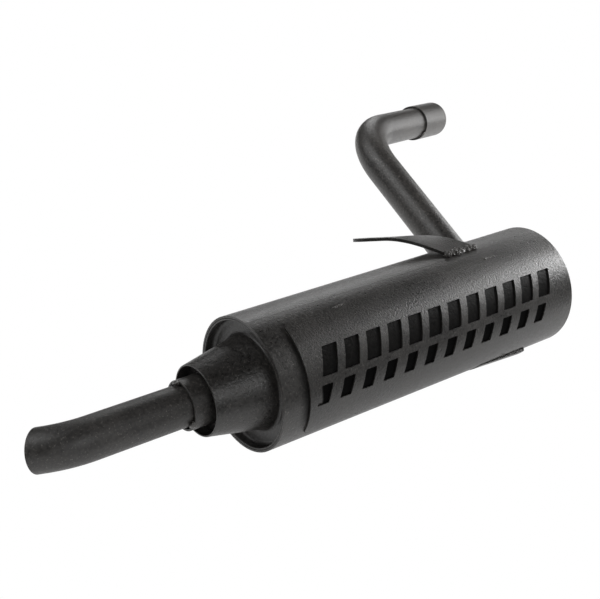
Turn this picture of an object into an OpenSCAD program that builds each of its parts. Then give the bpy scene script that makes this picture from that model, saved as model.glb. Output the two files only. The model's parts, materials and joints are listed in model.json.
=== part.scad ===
// Racing exhaust system: side-entry silencer canister with a slotted side plate,
// a bent inlet pipe with a slip socket, a hanger strap and a turned-out tail pipe.
// Millimetres. +X runs along the canister from its outlet end to its closed end, +Z is up.
// The origin is the centre of the inlet socket's mouth.
// Round the canister, angles count from straight up towards -Y.

/* [Canister] */
// Outside diameter of the canister shell
canister_d = 127; // [110:0.5:160]
// Length of the canister, rim to rim
canister_len = 378; // [360:1:460]
// Wall of the canister shell
shell_wall = 2; // [1.2:0.1:3]
// Wall of the two pressed end caps
cap_wall = 2; // [1.2:0.1:3]
// Depth of an end cap's floor below the rim
cap_depth = 9.8; // [7:0.1:16]
// Inside bend between an end cap's flange and its floor
cap_bend = 4; // [2:0.5:6]
// How much deeper the floor lies at the middle than at the bend
cap_dish = 4.5; // [0:0.1:6]
// Gap between pieces that nest in each other
nest_gap = 0.15; // [0.05:0.05:0.3]

/* [Outlet cone and sleeve] */
// Radial gap between the outlet sleeve and the outside of the cone's tip
mouth_gap = 10; // [8:0.1:14]
// Flat floor left between the cone's foot and the end cap's bend
foot_land = 8; // [4:0.5:12]
// Radius of the flare at the cone's foot
cone_flare = 3.5; // [2:0.1:5]
// How far the cone's tip stands out of the canister
cone_reach = 49; // [40:0.5:60]
// Wall of the cone
cone_wall = 1.6; // [1.2:0.1:2.5]
// Depth of the closing ring below the cone's tip
ring_depth = 14; // [8:0.5:24]
// Wall of the outlet sleeve
sleeve_wall = 2.2; // [1.5:0.1:3]
// How far the sleeve stands out past the cone's tip
sleeve_reach = 14.7; // [8:0.1:24]

/* [Tail pipe] */
// Outside diameter of the tail pipe and the inlet pipe
pipe_d = 38.1; // [30:0.1:46]
// Wall of both pipes
pipe_wall = 1.6; // [1.2:0.1:2.5]
// Straight tail pipe between the canister's rim and its bend
tail_straight = 150; // [110:1:200]
// Centreline radius of the tail pipe's bend
tail_bend_r = 60; // [45:1:100]
// Angle that the tail pipe turns through
tail_turn = 37; // [10:1:60]
// Angle of the bend's plane below level
tail_dip = 15; // [0:1:45]
// Straight tail pipe after the bend
tail_end = 6; // [6:0.5:40]
// Slant of the tail pipe's end cut
tail_cut = 15; // [0:1:30]
// How far the tail pipe slides into the core tube
tail_insert = 14; // [8:1:24]

/* [Inlet pipe and socket] */
// Distance from the closed end's rim to the inlet pipe's centreline
inlet_inset = 62.5; // [50:0.5:76]
// Angle of the inlet pipe above level
inlet_rise = 28.4; // [15:0.1:45]
// Angle of the inlet pipe towards the closed end
inlet_lean = 4.3; // [-10:0.1:10]
// Straight inlet pipe from the canister's centreline to the bend
inlet_straight = 204; // [150:1:260]
// Centreline radius of the inlet pipe's bend
inlet_bend_r = 80.6; // [60:0.1:110]
// Heading of the inlet's upper leg, from +X towards +Y
leg_heading = 19.6; // [0:0.1:40]
// Angle of the upper leg below level
leg_drop = 6.3; // [0:0.1:20]
// Upper leg between the bend and the socket
leg_len = 84.3; // [50:0.1:140]
// How far the inlet pipe reaches into the canister
inlet_stub = 8; // [5:0.5:12]
// Wall of the slip socket round the header pipe
socket_wall = 2.2; // [1.5:0.05:4]
// Length of the slip socket
socket_len = 57.5; // [45:0.5:80]
// Radial clearance of the slip socket round a header pipe as thick as the inlet pipe
header_clearance = 0.4; // [0.3:0.05:0.5]
// How far the inlet pipe is pushed into the socket
socket_grip = 15; // [10:0.5:25]
// Length of the relief groove between the inlet pipe's end and the socket's bore
relief_len = 1; // [0.5:0.1:2]
// Depth of the relief groove beyond the socket's bore
relief_depth = 0.8; // [0.4:0.1:1]

/* [Side plate] */
// Distance from the outlet rim to the side plate
plate_at = 27; // [20:0.5:40]
// Distance from the side plate to the closed end's rim
plate_inset = 13.5; // [8:0.5:30]
// Thickness of the side plate
plate_wall = 1.5; // [1:0.1:3]
// Angle of the side plate's top edge
plate_top = 22; // [10:1:35]
// Angle of the side plate's bottom edge
plate_bottom = 124.5; // [105:0.5:135]
// Corner radius of the side plate
plate_corner = 6.4; // [3:0.1:12]
// Number of slots in each row
slots = 12; // [6:1:16]
// Distance from the side plate's leading edge to the upper row
slot_lead = 23.5; // [18:0.5:30]
// Distance from the upper row's last slot to the side plate's trailing edge
slot_trail = 14.5; // [10:0.5:30]
// Width of an upper slot
upper_slot_w = 17; // [8:0.5:20]
// Width of a lower slot
lower_slot_w = 13; // [6:0.5:16]
// Angle of the upper row's top
upper_row_top = 50; // [40:1:55]
// Angle at which the upper row ends and the bridge starts
upper_row_end = 73; // [65:1:76]
// Angle at which the bridge ends and the lower row starts
lower_row_top = 79.5; // [78:0.5:84]
// Angle of the lower row's end
lower_row_end = 95.5; // [90:0.5:104]
// Slant of the slots from the canister's circumference
slot_slant = 17.5; // [0:0.5:30]

/* [Hanger strap] */
// Width of the strap
strap_w = 30; // [22:0.5:36]
// Thickness of the strap
strap_t = 3.2; // [2:0.1:5]
// Distance from the closed end's rim to the middle of the strap's welded end
strap_inset = 109; // [90:1:130]
// Heading of the strap, from +X towards +Y
strap_heading = 127; // [110:1:150]
// Length of the strap's arched and twisted stretch
strap_arch_len = 75; // [60:1:90]
// Slope of the strap where it leaves the canister
strap_rise = 16; // [5:0.5:25]
// Slope of the strap's flat tip, downwards
strap_fall = 8; // [0:0.5:20]
// Roll of the strap's tip, from level across
strap_twist = 17.5; // [0:0.5:30]
// Length of the strap's flat tip
strap_tip_len = 34; // [28:1:50]
// Diameter of the hanger hole
hanger_hole_d = 10; // [8:0.1:13]
// Distance from the tip of the strap to the hanger hole
hanger_hole_inset = 17; // [15:0.5:20]

/* [Underside pad] */
// Distance from the closed end's rim to the pad's thick end
pad_inset = 49; // [30:1:70]
// Length of the pad
pad_len = 67; // [50:1:90]
// Angle of the pad's near edge
pad_start = 134; // [130:1:150]
// Angle of the pad's far edge
pad_end = 168; // [155:1:190]
// Height of the pad's thick end above the shell
pad_t = 3.5; // [2:0.1:5]
// Height of the pad's thin end above the shell
pad_thin = 0.6; // [0.4:0.1:1.5]

/* [Inside] */
// Wall of the core tube
core_wall = 1.4; // [1:0.1:2]
// Distance from the closed end's rim to the baffle
baffle_inset = 112; // [102:1:130]
// Wall of the baffle
baffle_wall = 2; // [1:0.1:3]
// Length of the baffle's rim flange
baffle_flange = 10; // [6:0.5:16]
// How far the core tube reaches past the baffle
core_past = 22; // [10:1:40]
// Rows of openings along the core tube
core_rows = 14; // [6:1:18]
// Openings round the core tube in one row
core_round = 6; // [4:1:8]
// Length of one opening in the core tube
opening_len = 7; // [4:0.5:9]
// Width of one opening in the core tube
opening_w = 5; // [3:0.5:7]
// Length of the collar that joins the core tube to the baffle
collar_len = 8; // [5:0.5:12]
// Length of the spark screen
screen_len = 45; // [30:1:60]
// Distance from the outlet rim to the spark screen
screen_at = 60; // [45:1:90]
// Wall of the spark screen
screen_wall = 1; // [0.6:0.1:2]
// Length of the spark screen's rim
screen_rim = 4; // [2:0.5:8]

/* [Welds] */
// Leg of the weld beads
bead = 3; // [2:0.1:4]
// Length of the side plate's tack welds
tack_len = 17; // [10:0.5:24]
// Height of the pad's tack welds
tack_h = 1.7; // [1:0.1:2.5]
// Angle that a tack weld covers round the canister
tack_span = 2.2; // [1:0.1:4]
// Distance from the pad's thick end to its tack welds
pad_weld_inset = 8; // [4:0.5:20]
// Angle that the strap's far weld covers round the canister
far_bead_span = 6; // [3:0.5:10]
// Distance from the side plate's leading edge to its first tack welds
near_tack_inset = 64; // [40:1:80]
// Distance from the side plate's trailing edge to its last tack welds
far_tack_inset = 75.5; // [40:0.5:90]
// Leg of the thin bead round the socket's foot
socket_bead = 1.2; // [0.8:0.1:2]

/* [Hidden] */
$fn = 96;

paint = [0.16, 0.16, 0.165];
bare_steel = [0.62, 0.62, 0.64];
wool_yellow = [0.82, 0.74, 0.5];

canister_r = canister_d / 2;
shell_in = canister_r - shell_wall;
cap_out = shell_in - nest_gap;
cap_in = cap_out - cap_wall;
// The tail pipe slides into the core tube, and the core tube into the sleeve
pipe_r = pipe_d / 2;
core_in = pipe_r + nest_gap;
core_r = core_in + core_wall;
sleeve_in = core_r + nest_gap;
sleeve_r = sleeve_in + sleeve_wall;
header_r = pipe_r + header_clearance;
socket_r = header_r + socket_wall;

// A bend's wall stands this far proud of the straight tube on both faces
bend_swell = 0.1;
inlet_at = canister_len - inlet_inset;
strap_at = canister_len - strap_inset;
pad_at = canister_len - pad_inset - pad_len;
baffle_at = canister_len - baffle_inset;
plate_len = canister_len - plate_at - plate_inset;
// Room for the slots: the last one ends slot_trail short of the plate's end
slot_pitch = (plate_len - slot_lead - slot_trail - upper_slot_w) / (slots - 1);

// Point on a profile's arc
function arc(c, r, a0, a1, n = 8) =
    [for (i = [0 : n]) let (a = a0 + (a1 - a0) * i / n) [c.x + r * cos(a), c.y + r * sin(a)]];
function unit(v) = v / norm(v);

// ---- end caps and cone profiles, as [radius, distance from the rim] ----
floor_start = cap_in - cap_bend;
function floor_x(r) = cap_depth + cap_dish * (floor_start - r) / floor_start;
cone_tip_x = -cone_reach;
cone_foot_r = floor_start - foot_land;
cone_tip_r = sleeve_r + mouth_gap;
cone_lean = 10;
flare_centre = [cone_foot_r, floor_x(cone_foot_r) - cone_flare];
flare_start = arc(flare_centre, cone_flare, 180 - cone_lean, 90, 1)[0];
ring_x = cone_tip_x + ring_depth;
sleeve_x = cone_tip_x - sleeve_reach;
// The core tube starts behind the outlet cap and slides into the sleeve
core_x = floor_x(sleeve_r) + cap_wall;
sleeve_end = core_x + tail_insert + 2;
core_end = baffle_at + core_past;

// ---- inlet route: out of the canister's centreline, round one bend, to the socket ----
inlet_dir = [cos(inlet_rise) * sin(inlet_lean), cos(inlet_rise) * cos(inlet_lean), sin(inlet_rise)];
leg_dir = [cos(leg_drop) * cos(leg_heading), cos(leg_drop) * sin(leg_heading), -sin(leg_drop)];
inlet_turn = acos(inlet_dir * leg_dir);
inlet_side = unit(leg_dir - (leg_dir * inlet_dir) * inlet_dir);
inlet_root = [inlet_at, 0, 0];
bend_end = inlet_root + inlet_straight * inlet_dir
    + inlet_bend_r * (sin(inlet_turn) * inlet_dir + (1 - cos(inlet_turn)) * inlet_side);
socket_foot = bend_end + leg_len * leg_dir;
mouth = socket_foot + socket_len * leg_dir;
inlet_start = shell_in - inlet_stub;

// ---- hanger strap: an arc that rises, turns over and runs into the flat tip ----
strap_arc_r = strap_arch_len / ((strap_rise + strap_fall) * PI / 180);
strap_base = [strap_at, 0, canister_r + strap_t / 2 + nest_gap];
strap_level = [cos(strap_heading), sin(strap_heading), 0];
strap_across = [sin(strap_heading), -cos(strap_heading), 0];
function strap_slope(s) = strap_rise - (strap_rise + strap_fall) * max(0, s) / strap_arch_len;
// The strap is straight behind its base
function strap_point(s) = strap_base
    + strap_arc_r * (sin(strap_rise) - sin(strap_slope(s))) * strap_level
    + strap_arc_r * (cos(strap_slope(s)) - cos(strap_rise)) * [0, 0, 1]
    + min(0, s) * strap_run(0);
function strap_run(s) = cos(strap_slope(s)) * strap_level + sin(strap_slope(s)) * [0, 0, 1];
// At its root the strap's plane holds the canister's direction, so its side edge isn't level
root_roll = atan(sin(strap_rise) / tan(strap_heading));
// The roll eases in and out between the welded end and the flat tip
function strap_roll(s) = let (u = min(1, max(0, s / strap_arch_len)))
    root_roll + (strap_twist - root_roll) * (3 * u * u - 2 * u * u * u);
function strap_side(s) = let (up = cross(strap_across, strap_run(s)))
    cos(strap_roll(s)) * strap_across - sin(strap_roll(s)) * up;
function strap_up(s) = cross(strap_side(s), strap_run(s));
// How far the flat tip runs into the arch, so that they are one piece
strap_lap = 0.5;
// Length of the strap's welded end, which is cut along the canister
strap_cut = strap_w / sin(strap_heading);

// ---- placing and drawing helpers ----
// Moves the canister's own frame, with its origin on the outlet rim, to the socket's mouth
module placed() translate(-mouth) children();
// Turns a [radius, x] profile about the canister's centreline
module lathe() rotate([0, 90, 0]) rotate_extrude() children();
// The same for the stretch between two angles
module sector(from, to)
    rotate([0, 90, 0]) rotate([0, 0, 180 + from]) rotate_extrude(angle = to - from) children();
module tube_x(from, to, r_out, r_in) lathe() translate([r_in, from]) square([r_out - r_in, to - from]);
// Puts local X on d, local Y on n and local Z on their cross product, at p
module along(p, d, n) {
    k = cross(d, n);
    multmatrix([[d.x, n.x, k.x, p.x], [d.y, n.y, k.y, p.y], [d.z, n.z, k.z, p.z], [0, 0, 0, 1]]) children();
}
// Bent tube: straight along local X for l1, one bend towards +Y, then straight for l2
module bent_tube(l1, turn_r, turn, l2) {
    module wall_ring(swell) difference() {
        circle(r = pipe_r + swell);
        circle(r = pipe_r - pipe_wall - swell);
    }
    rotate([0, 90, 0]) linear_extrude(l1) wall_ring(0);
    translate([l1, turn_r, 0]) rotate([0, 0, -90])
        rotate_extrude(angle = turn) translate([turn_r, 0]) wall_ring(bend_swell);
    translate([l1, turn_r, 0]) rotate([0, 0, turn]) translate([0, -turn_r, 0])
        rotate([0, 90, 0]) linear_extrude(l2) wall_ring(0);
}
// Weld bead on the shell between two angles, with sloping ends
module shell_bead(from, to, x, len, h) sector(from, to) polygon([
    [canister_r, x], [canister_r + h, x + h], [canister_r + h, x + len - h], [canister_r, x + len]]);
module on_inlet(from) along(inlet_root + from * inlet_dir, inlet_dir, inlet_side) children();
module on_leg(from) along(bend_end + from * leg_dir, leg_dir, unit(cross([0, 0, 1], leg_dir))) children();

// ---- canister ----
module canister_shell() color(paint) placed() difference() {
    tube_x(0, canister_len, canister_r, shell_in);
    on_inlet(shell_in / 2) rotate([0, 90, 0]) cylinder(r = pipe_r + nest_gap, h = canister_r);
}

// Pressed cap with a rim flange, a bend and a floor that falls to the middle
module cap_profile(hole_r) {
    bend_c = [floor_start, cap_depth - cap_bend];
    polygon(concat(
        [[cap_in, 0]],
        arc(bend_c, cap_bend, 0, 90),
        [[hole_r, floor_x(hole_r)], [hole_r, floor_x(hole_r) + cap_wall]],
        arc(bend_c, cap_bend + cap_wall, 90, 0),
        [[cap_out, 0]]));
}
module outlet_end_cap() color(paint) placed() lathe() cap_profile(sleeve_r + nest_gap);
module closed_end_cap() color(paint) placed()
    translate([canister_len, 0, 0]) mirror([1, 0, 0]) lathe() cap_profile(0);

// ---- outlet ----
module outlet_cone() color(paint) placed() lathe() polygon(concat(
    [[cone_tip_r, cone_tip_x]],
    arc(flare_centre, cone_flare, 180 - cone_lean, 90),
    [[flare_start.x - cone_wall, floor_x(flare_start.x - cone_wall)],
        [cone_tip_r - cone_wall, cone_tip_x]]));

// Inside radius of the cone, which runs straight from its tip to its foot
function cone_in(x) = let (foot = flare_start.x - cone_wall)
    cone_tip_r - cone_wall
    + (foot - cone_tip_r + cone_wall) * (x - cone_tip_x) / (floor_x(foot) - cone_tip_x);
module cone_ring() color(paint) placed() lathe() polygon([
    [sleeve_r + nest_gap, ring_x], [cone_in(ring_x), ring_x],
    [cone_in(ring_x + cone_wall), ring_x + cone_wall], [sleeve_r + nest_gap, ring_x + cone_wall]]);
module outlet_sleeve() color(paint) placed() tube_x(sleeve_x, sleeve_end, sleeve_r, sleeve_in);
module sleeve_weld() color(paint) placed() lathe()
    polygon([[sleeve_r, ring_x - bead], [sleeve_r + bead, ring_x], [sleeve_r, ring_x]]);

module tail_pipe() color(paint) placed()
    along([core_x + tail_insert, 0, 0], [-1, 0, 0], [0, cos(tail_dip), -sin(tail_dip)]) difference() {
        straight = core_x + tail_insert + tail_straight;
        bent_tube(straight, tail_bend_r, tail_turn, tail_end + pipe_r * tan(tail_cut));
        translate([straight, tail_bend_r, 0]) rotate([0, 0, tail_turn]) translate([tail_end, -tail_bend_r, 0])
            rotate([0, 0, tail_cut]) translate([0, -pipe_d, -pipe_d]) cube(2 * pipe_d);
    }
module tail_tack_welds() color(bare_steel) placed()
    for (angle = [-14, 118, 235]) rotate([angle, 0, 0])
        translate([sleeve_x, 0, (pipe_r + sleeve_r) / 2]) difference() {
            sphere(r = bead * 0.87, $fn = 32);
            translate([0, 0, -(pipe_r + sleeve_r) / 2]) rotate([0, 90, 0])
                cylinder(r = pipe_r, h = 4 * bead, center = true);
            translate([0, -2 * bead, -2 * bead]) cube(4 * bead);
        }

// ---- side plate ----
// A slanted slot through the plate; its leading edge passes x at the middle of the row
module slot(x, w, row_top, row_end) {
    mid = (row_top + row_end) / 2;
    h = canister_r * sin((row_end - row_top) / 2);
    lean = h * tan(slot_slant);
    rotate([mid, 0, 0]) translate([x, 0, canister_r / 2]) linear_extrude(canister_r)
        polygon([[-lean, -h], [w - lean, -h], [w + lean, h], [lean, h]]);
}
function slot_shift(angle) = (angle - upper_row_top) * PI / 180 * canister_r * tan(slot_slant);
module slot_row(w, row_top, row_end) {
    from = plate_at + slot_lead - slot_shift((row_top + row_end) / 2);
    for (i = [0 : slots - 1]) slot(from + i * slot_pitch, w, row_top, row_end);
}
// Takes the corner off the plate; end and side point out of the plate, along it and round it
module corner_cut(x, angle, end, side) {
    c = plate_corner;
    round = arc([c, c], c, 180, 270);
    last = len(round) - 1;
    // The first and last chords run on past the plate's edges
    outline = concat([2 * round[0] - round[1]], [for (i = [1 : last - 1]) round[i]],
        [2 * round[last] - round[last - 1], [-c, -c]]);
    rotate([angle, 0, 0]) translate([x, 0, canister_r / 2]) linear_extrude(canister_r)
        polygon([for (p = outline) [-end * p.x, -side * p.y]]);
}
module side_plate() color(paint) placed() difference() {
    sector(plate_top, plate_bottom) translate([canister_r + nest_gap, plate_at])
        square([plate_wall, plate_len]);
    slot_row(upper_slot_w, upper_row_top, upper_row_end);
    slot_row(lower_slot_w, lower_row_top, lower_row_end);
    for (end = [-1, 1]) {
        x = end > 0 ? plate_at + plate_len : plate_at;
        corner_cut(x, plate_top, end, -1);
        corner_cut(x, plate_bottom, end, 1);
    }
}
module plate_tack_welds() color(bare_steel) placed()
    for (middle = [plate_at + near_tack_inset, plate_at + plate_len - far_tack_inset]) {
        x = middle - tack_len / 2;
        shell_bead(plate_top - tack_span, plate_top, x, tack_len, plate_wall);
        shell_bead(plate_bottom, plate_bottom + tack_span, x, tack_len, plate_wall);
    }

// ---- hanger strap ----
module strap_arch() {
    n = 20;
    // Behind the base one straight stretch, whose end the cut along the canister removes
    stations = concat([-strap_w], [for (i = [0 : n]) i * strap_arch_len / n]);
    ends = len(stations) - 1;
    // One end's four corners: both sides, top and bottom
    points = [for (s = stations) for (c = [[-1, -1], [1, -1], [1, 1], [-1, 1]])
        strap_point(s) + c.x * strap_w / 2 * strap_side(s) + c.y * strap_t / 2 * strap_up(s)];
    faces = concat(
        [[3, 2, 1, 0], [for (k = [0 : 3]) 4 * ends + k]],
        // The sides twist, so each stretch of a side is two triangles
        [for (i = [0 : ends - 1], k = [0 : 3]) [4 * i + k, 4 * i + (k + 1) % 4, 4 * i + 4 + (k + 1) % 4]],
        [for (i = [0 : ends - 1], k = [0 : 3]) [4 * i + k, 4 * i + 4 + (k + 1) % 4, 4 * i + 4 + k]]);
    polyhedron(points, faces, convexity = 4);
}
module strap_tip() along(strap_point(strap_arch_len), strap_run(strap_arch_len), -strap_side(strap_arch_len))
    translate([0, 0, -strap_t / 2]) difference() {
        union() {
            translate([-strap_lap, -strap_w / 2, 0])
                cube([strap_tip_len + strap_lap - strap_w / 2, strap_w, strap_t]);
            translate([strap_tip_len - strap_w / 2, 0, 0]) cylinder(d = strap_w, h = strap_t);
        }
        translate([strap_tip_len - hanger_hole_inset, 0, -1]) cylinder(d = hanger_hole_d, h = strap_t + 2);
    }
module hanger_strap() color(paint) placed() difference() {
    union() {
        strap_arch();
        strap_tip();
    }
    translate([strap_at - 2 * strap_w, -2 * strap_w, 0]) cube([4 * strap_w, 2 * strap_w, 2 * canister_r]);
}

module hanger_welds() color(bare_steel) placed() {
    near = strap_cut + 3 * bead;
    translate([strap_at - near / 2, 0, 0]) rotate([90, 0, 90]) linear_extrude(near) polygon([
        [-bead, sqrt(canister_r * canister_r - bead * bead)], [0, canister_r], [0, canister_r + bead]]);
    difference() {
        shell_bead(-far_bead_span, 0, strap_at, strap_cut / 2 + 2 * bead, bead);
        corner = [strap_cut, 0];
        edge_end = corner + 2 * strap_w * [cos(strap_heading), sin(strap_heading)];
        translate([strap_at - strap_cut / 2, 0, 0]) linear_extrude(2 * canister_r)
            polygon([[-strap_w, 0], corner, edge_end, [-strap_w, 2 * strap_w]]);
    }
}

// ---- inlet ----
module inlet_pipe() color(paint) placed() on_inlet(inlet_start)
    bent_tube(inlet_straight - inlet_start, inlet_bend_r, inlet_turn, leg_len + socket_grip);
module inlet_weld() color(bare_steel) placed() difference() {
    intersection() {
        on_inlet(canister_r / 2) rotate([0, 90, 0]) cylinder(r = pipe_r + bead, h = canister_r);
        tube_x(inlet_at - canister_r, inlet_at + canister_r, canister_r + bead, canister_r);
    }
    on_inlet(0) rotate([0, 90, 0]) cylinder(r = pipe_r, h = 2 * canister_r);
}
module inlet_socket() color(paint) placed() on_leg(leg_len) rotate([0, 90, 0]) difference() {
    cylinder(r = socket_r, h = socket_len);
    translate([0, 0, -1]) cylinder(r = core_in, h = socket_len);
    translate([0, 0, socket_grip]) cylinder(r = header_r + relief_depth, h = relief_len);
    translate([0, 0, socket_grip]) cylinder(r = header_r, h = socket_len);
}
module socket_weld() color(bare_steel) placed() on_leg(leg_len) {
    rotate([0, 90, 0]) rotate_extrude()
        polygon([[pipe_r, -socket_bead], [pipe_r + socket_bead, 0], [pipe_r, 0]]);
    difference() {
        rotate([-30, 0, 0]) translate([0, 0, pipe_r + socket_bead]) sphere(r = 2.2, $fn = 32);
        rotate([0, 90, 0]) cylinder(r = pipe_r, h = 10, center = true);
        rotate([0, 90, 0]) cylinder(r = socket_r + 10, h = 10);
    }
}

// ---- underside pad ----
module underside_pad() color(paint) placed() sector(pad_start, pad_end) polygon([
    [canister_r + nest_gap, pad_at], [canister_r + pad_thin, pad_at],
    [canister_r + pad_t, pad_at + pad_len - 2], [canister_r + nest_gap, pad_at + pad_len]]);
module pad_welds() color(bare_steel) placed() {
    x = pad_at + pad_len - pad_weld_inset - tack_len;
    shell_bead(pad_start - tack_span, pad_start, x, tack_len, tack_h);
    shell_bead(pad_end, pad_end + tack_span, x, tack_len, tack_h);
}

// ---- inside ----
// Punched all round; every second row is turned by half a step
module core_tube() color(bare_steel) placed() {
    from = sleeve_end + 2 * opening_len;
    pitch = (baffle_at - opening_len - from) / (core_rows - 0.5);
    difference() {
        tube_x(core_x, core_end, core_r, core_in);
        for (i = [0 : core_rows - 1], k = [0 : core_round - 1])
            rotate([(k + i % 2 / 2) * 360 / core_round, 0, 0]) translate([from + i * pitch, 0, core_r])
                cube([opening_len, opening_w, core_r], center = true);
    }
}
wool_from = sleeve_end + cap_wall;
module wool_ring() color(bare_steel) placed() tube_x(sleeve_end, wool_from, cap_out, core_r + nest_gap);
module glass_wool() color(wool_yellow) placed()
    tube_x(wool_from, baffle_at, cap_out - nest_gap, core_r + nest_gap);
module baffle_plate() color(bare_steel) placed() lathe() polygon([
    [core_r + nest_gap, baffle_at], [cap_out, baffle_at], [cap_out, baffle_at + baffle_flange],
    [cap_out - baffle_wall, baffle_at + baffle_flange], [cap_out - baffle_wall, baffle_at + baffle_wall],
    [core_r + nest_gap, baffle_at + baffle_wall]]);
module baffle_collar() color(bare_steel) placed() {
    from = baffle_at + baffle_wall;
    tube_x(from, from + collar_len, core_r + nest_gap + core_wall, core_r + nest_gap);
}
module spark_screen() color(bare_steel) placed() {
    base_r = core_in - nest_gap;
    tip_r = base_r / 3;
    tip_x = screen_at + screen_len;
    difference() {
        lathe() polygon([
            [base_r - screen_wall, screen_at], [base_r, screen_at], [base_r, screen_at + screen_rim],
            [tip_r, tip_x], [0, tip_x], [0, tip_x - screen_wall],
            [tip_r - screen_wall, tip_x - screen_wall], [base_r - screen_wall, screen_at + screen_rim]]);
        for (i = [1 : 3], k = [0 : core_round - 1]) rotate([(k + i % 2 / 2) * 360 / core_round, 0, 0])
            translate([screen_at + i * screen_len / 4, 0, base_r / 2])
                cube([opening_len / 2, opening_w / 2, base_r], center = true);
    }
}

canister_shell();
outlet_end_cap();
closed_end_cap();
outlet_cone();
cone_ring();
outlet_sleeve();
sleeve_weld();
tail_pipe();
tail_tack_welds();
side_plate();
plate_tack_welds();
hanger_strap();
hanger_welds();
inlet_pipe();
inlet_weld();
inlet_socket();
socket_weld();
underside_pad();
pad_welds();
core_tube();
glass_wool();
baffle_plate();
baffle_collar();
spark_screen();
wool_ring();
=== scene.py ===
"""Racing exhaust system: a side-entry silencer with a slotted side plate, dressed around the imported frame.

Sizes are in millimetres in the canister's own frame, which has its origin at the centre of the outlet
rim and +X along the canister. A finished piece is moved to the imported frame, in metres. Round the
canister, angles count in degrees from straight up towards -Y.
"""

import json
import logging
import math
from dataclasses import dataclass, field
from enum import Enum
from typing import Optional, Sequence, Union

import bmesh
import bpy
from mathutils import Matrix, Vector, noise

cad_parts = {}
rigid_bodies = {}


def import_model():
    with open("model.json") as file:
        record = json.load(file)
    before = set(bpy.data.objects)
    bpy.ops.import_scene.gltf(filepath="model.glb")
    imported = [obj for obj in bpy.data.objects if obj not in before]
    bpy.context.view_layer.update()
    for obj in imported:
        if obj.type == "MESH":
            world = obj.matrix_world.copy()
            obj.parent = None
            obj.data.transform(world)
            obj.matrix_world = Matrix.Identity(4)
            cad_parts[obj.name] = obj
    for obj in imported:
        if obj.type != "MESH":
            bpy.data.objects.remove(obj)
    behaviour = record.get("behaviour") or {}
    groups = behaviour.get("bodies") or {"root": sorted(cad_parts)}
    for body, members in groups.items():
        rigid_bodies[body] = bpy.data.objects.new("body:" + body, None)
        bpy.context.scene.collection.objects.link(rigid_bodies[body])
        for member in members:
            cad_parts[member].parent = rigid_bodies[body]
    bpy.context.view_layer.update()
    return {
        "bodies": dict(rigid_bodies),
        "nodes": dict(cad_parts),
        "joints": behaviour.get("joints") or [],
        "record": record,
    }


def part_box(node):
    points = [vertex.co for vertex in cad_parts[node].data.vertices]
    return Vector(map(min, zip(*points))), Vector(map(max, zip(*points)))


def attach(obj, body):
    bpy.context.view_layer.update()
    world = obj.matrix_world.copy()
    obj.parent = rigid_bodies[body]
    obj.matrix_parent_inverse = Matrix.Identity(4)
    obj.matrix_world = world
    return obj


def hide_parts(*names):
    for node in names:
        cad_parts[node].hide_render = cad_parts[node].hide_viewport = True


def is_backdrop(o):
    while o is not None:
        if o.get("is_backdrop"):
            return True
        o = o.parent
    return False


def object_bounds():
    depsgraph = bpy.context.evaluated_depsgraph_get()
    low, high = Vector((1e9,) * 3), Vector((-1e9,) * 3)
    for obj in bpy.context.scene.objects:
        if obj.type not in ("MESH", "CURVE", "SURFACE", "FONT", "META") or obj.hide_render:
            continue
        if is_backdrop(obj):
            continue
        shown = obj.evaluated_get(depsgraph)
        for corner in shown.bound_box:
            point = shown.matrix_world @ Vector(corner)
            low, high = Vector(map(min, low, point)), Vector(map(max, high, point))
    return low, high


log = logging.getLogger("exhaust")

MM = 0.001
FULL_TURN = 2 * math.pi
ROUND_STEPS = 160
BODY = "root"
Number = Union[float, "Wire"]


# ---------------------------------------------------------------- shader maths
class Wire:
    """The output of a shader node, with the arithmetic that shader maths is written in."""

    def __init__(self, graph: "Graph", socket: bpy.types.NodeSocket) -> None:
        """Keeps the graph that the socket belongs to."""
        self.graph = graph
        self.socket = socket

    def __add__(self, other: Number) -> "Wire":
        """Adds a number or a wire."""
        return self.graph.maths("ADD", self, other)

    def __mul__(self, other: Number) -> "Wire":
        """Multiplies by a number or a wire."""
        return self.graph.maths("MULTIPLY", self, other)

    def __sub__(self, other: Number) -> "Wire":
        """Takes a number or a wire away."""
        return self.graph.maths("SUBTRACT", self, other)

    def __rsub__(self, other: Number) -> "Wire":
        """Takes this wire away from a number."""
        return self.graph.maths("SUBTRACT", other, self)

    __radd__ = __add__
    __rmul__ = __mul__

    def ramp(self, low: float, high: float) -> "Wire":
        """Rises smoothly from 0 to 1 between two values.

        Args:
            low: The value at which the result is 0.
            high: The value at which the result is 1.

        Returns:
            The eased wire.
        """
        return self.graph.node(
            "ShaderNodeMapRange",
            {"interpolation_type": "SMOOTHSTEP"},
            {"Value": self, "From Min": low, "From Max": high},
        )

    def between(self, low: float, high: float, ease: float) -> "Wire":
        """Is 1 between two values and eases to 0 outside them.

        Args:
            low: The lower value.
            high: The higher value.
            ease: How far past each value it reaches 0.

        Returns:
            The eased wire.
        """
        return self.ramp(low - ease, low) * (1 - self.ramp(high, high + ease))


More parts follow.
